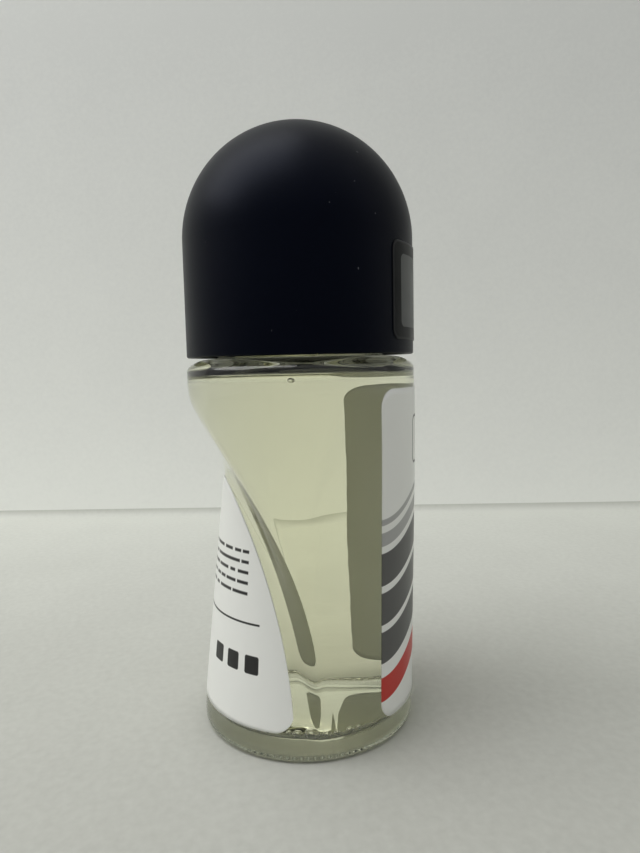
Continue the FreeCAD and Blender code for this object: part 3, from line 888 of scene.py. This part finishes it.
view_turn = Matrix.Rotation(math.radians(-12.0), 4, "Z")
stage_turn = Matrix.Rotation(math.radians(-15.5), 4, "Z")
wall_distance = 0.155
cove_radius = 0.003
stage_reach = 1.2
cove_steps = 8
# Painted shade on the floor: its colour darkens from the wall towards the camera's side
floor_painted_shade_start = -0.12
# Painted shade on the wall: lighter at its foot, darker from there up to this height
wall_painted_shade_end = 0.2
# Floor colours near the camera and by the wall; the darker near one is painted shade
floor_painted_shade_colours = ((0.395, 0.395, 0.357, 1.0), (0.66, 0.67, 0.615, 1.0))
# Wall colours at its foot and at its top; the darker top is painted shade
wall_painted_shade_colours = ((0.96, 0.97, 0.925, 1.0), (0.77, 0.78, 0.755, 1.0))
world_low = (0.42, 0.42, 0.41, 1.0)
world_high = (0.64, 0.65, 0.65, 1.0)
world_rise = (-0.3, 0.8)
world_near_reach = 0.8
world_near_strength = 0.64
lamp_place = (0.06, 0.34, 0.66)
lamp_aim = (0.0, 0.0, 0.05)
lamp_size = 0.8
lamp_power = 5.6
light_bounces = 24


def stage_material(name, axis, ends, colours):
    """A pale surface, seen from its front only, whose colour goes from one to another along an axis:
    painted shade, darker towards the camera on the floor and towards the top on the wall.
    """
    nodes = Nodes(name)
    place = nodes.add("ShaderNodeVectorMath", operation="DOT_PRODUCT")
    nodes.put(place.inputs[0], nodes.add("ShaderNodeTexCoord").outputs["Object"])
    nodes.put(place.inputs[1], stage_turn @ Vector(axis))
    share = nodes.ranged(place.outputs["Value"], *ends)
    cloud = nodes.math("MULTIPLY", nodes.math("SUBTRACT", nodes.noise(26.0, 6.0, 0.62), 0.5), 0.3)
    grain = nodes.math("MULTIPLY", nodes.math("SUBTRACT", nodes.noise(620.0, 2.0), 0.5), 0.35)
    share = nodes.math("ADD", share, grain)
    nodes.set(Base_Color=nodes.mix(nodes.math("ADD", share, cloud, clamp=True), *colours), Roughness=0.75)
    one_sided = nodes.add("ShaderNodeMixShader")
    nodes.put(one_sided.inputs["Fac"], nodes.add("ShaderNodeNewGeometry").outputs["Backfacing"])
    nodes.put(one_sided.inputs[1], nodes.surface.outputs["BSDF"])
    nodes.put(one_sided.inputs[2], nodes.add("ShaderNodeBsdfTransparent").outputs["BSDF"])
    nodes.put(nodes.output.inputs["Surface"], one_sided.outputs["Shader"])
    return nodes.material


def make_stage():
    """Pale floor that turns up into a pale wall behind the bottle."""
    profile = [(-stage_reach, 0.0), (wall_distance - cove_radius, 0.0)]
    for step in range(1, cove_steps + 1):
        angle = math.radians(90.0 * step / cove_steps)
        along = wall_distance - cove_radius * (1 - math.sin(angle))
        profile.append((along, cove_radius * (1 - math.cos(angle))))
    profile.append((wall_distance, stage_reach))
    points = []
    for across in (-stage_reach, stage_reach):
        points += [stage_turn @ Vector((along, across, up)) / MM for along, up in profile]
    count = len(profile)
    faces = [(index, index + 1, count + index + 1, count + index) for index in range(count - 1)]
    # The floor's and the wall's colours carry painted shade along their axes
    floor = stage_material("floor_pale", (1.0, 0.0, 0.0), (floor_painted_shade_start, wall_distance), floor_painted_shade_colours)
    wall = stage_material("wall_pale", (0.0, 0.0, 1.0), (0.0, wall_painted_shade_end), wall_painted_shade_colours)
    stage = add_piece("studio_stage", points, faces, [floor, wall], [0] * (count - 2) + [1], closed=False)


def make_world():
    """Soft light from all round, paler from above and dimmer from the camera's side."""
    world = bpy.data.worlds.new("studio_world")
    world.use_nodes = True
    bpy.context.scene.world = world
    tree = world.node_tree
    background = tree.nodes["Background"]
    place = tree.nodes.new("ShaderNodeTexCoord")
    split = tree.nodes.new("ShaderNodeSeparateXYZ")
    fade = tree.nodes.new("ShaderNodeMapRange")
    blend = tree.nodes.new("ShaderNodeMix")
    blend.data_type = "RGBA"
    fade.inputs["From Min"].default_value = world_rise[0]
    fade.inputs["From Max"].default_value = world_rise[1]
    blend.inputs["A"].default_value = world_low
    blend.inputs["B"].default_value = world_high
    tree.links.new(place.outputs["Generated"], split.inputs[0])
    tree.links.new(split.outputs["Z"], fade.inputs["Value"])
    tree.links.new(fade.outputs["Result"], blend.inputs["Factor"])
    tree.links.new(blend.outputs["Result"], background.inputs["Color"])
    side = tree.nodes.new("ShaderNodeVectorMath")
    side.operation = "DOT_PRODUCT"
    side.inputs[1].default_value = view_turn @ Vector((-1.0, 0.0, 0.0))
    dim = tree.nodes.new("ShaderNodeMapRange")
    dim.inputs["From Min"].default_value = 0.0
    dim.inputs["From Max"].default_value = world_near_reach
    dim.inputs["To Min"].default_value = 1.0
    dim.inputs["To Max"].default_value = world_near_strength
    tree.links.new(place.outputs["Generated"], side.inputs[0])
    tree.links.new(side.outputs["Value"], dim.inputs["Value"])
    tree.links.new(dim.outputs["Result"], background.inputs["Strength"])


def add_area(name, place, size, power):
    """A soft square lamp that faces the bottle."""
    lamp = bpy.data.lights.new(name, "AREA")
    lamp.size = size
    lamp.energy = power
    holder = bpy.data.objects.new(name, lamp)
    holder.location = view_turn @ Vector(place)
    aim = Vector(lamp_aim) - holder.location
    holder.rotation_euler = aim.to_track_quat("-Z", "Y").to_euler()
    bpy.context.scene.collection.objects.link(holder)


camera_place = Vector((-0.1156, 0.0, 0.0636))
camera_yaw = 1.59
camera_pitch = 5.55
camera_roll = -1.27
focal_pixels = 640.0
image_height = 853.0
sensor_size = 36.0


def make_camera():
    """The photograph's camera."""
    yaw, pitch, roll = (math.radians(angle) for angle in (camera_yaw, camera_pitch, camera_roll))
    ahead = Vector((math.cos(yaw) * math.cos(pitch), -math.sin(yaw) * math.cos(pitch), -math.sin(pitch)))
    right = Vector((-math.sin(yaw), -math.cos(yaw), 0.0))
    up = right.cross(ahead)
    rolled_right = right * math.cos(roll) + up * math.sin(roll)
    rolled_up = up * math.cos(roll) - right * math.sin(roll)
    camera = bpy.data.cameras.new("photo_camera")
    camera.sensor_width = sensor_size
    camera.lens = focal_pixels * sensor_size / image_height
    camera.clip_start = 0.005
    holder = bpy.data.objects.new("photo_camera", camera)
    turn = Matrix((rolled_right, rolled_up, -ahead)).transposed()
    holder.matrix_world = view_turn @ Matrix.Translation(camera_place) @ turn.to_4x4()
    bpy.context.scene.collection.objects.link(holder)
    bpy.context.scene.camera = holder


make_stage()
make_world()
add_area("window_light", lamp_place, lamp_size, lamp_power)
make_camera()

scene = bpy.context.scene
scene.view_settings.view_transform = "Standard"
scene.cycles.max_bounces = light_bounces
scene.cycles.transmission_bounces = light_bounces
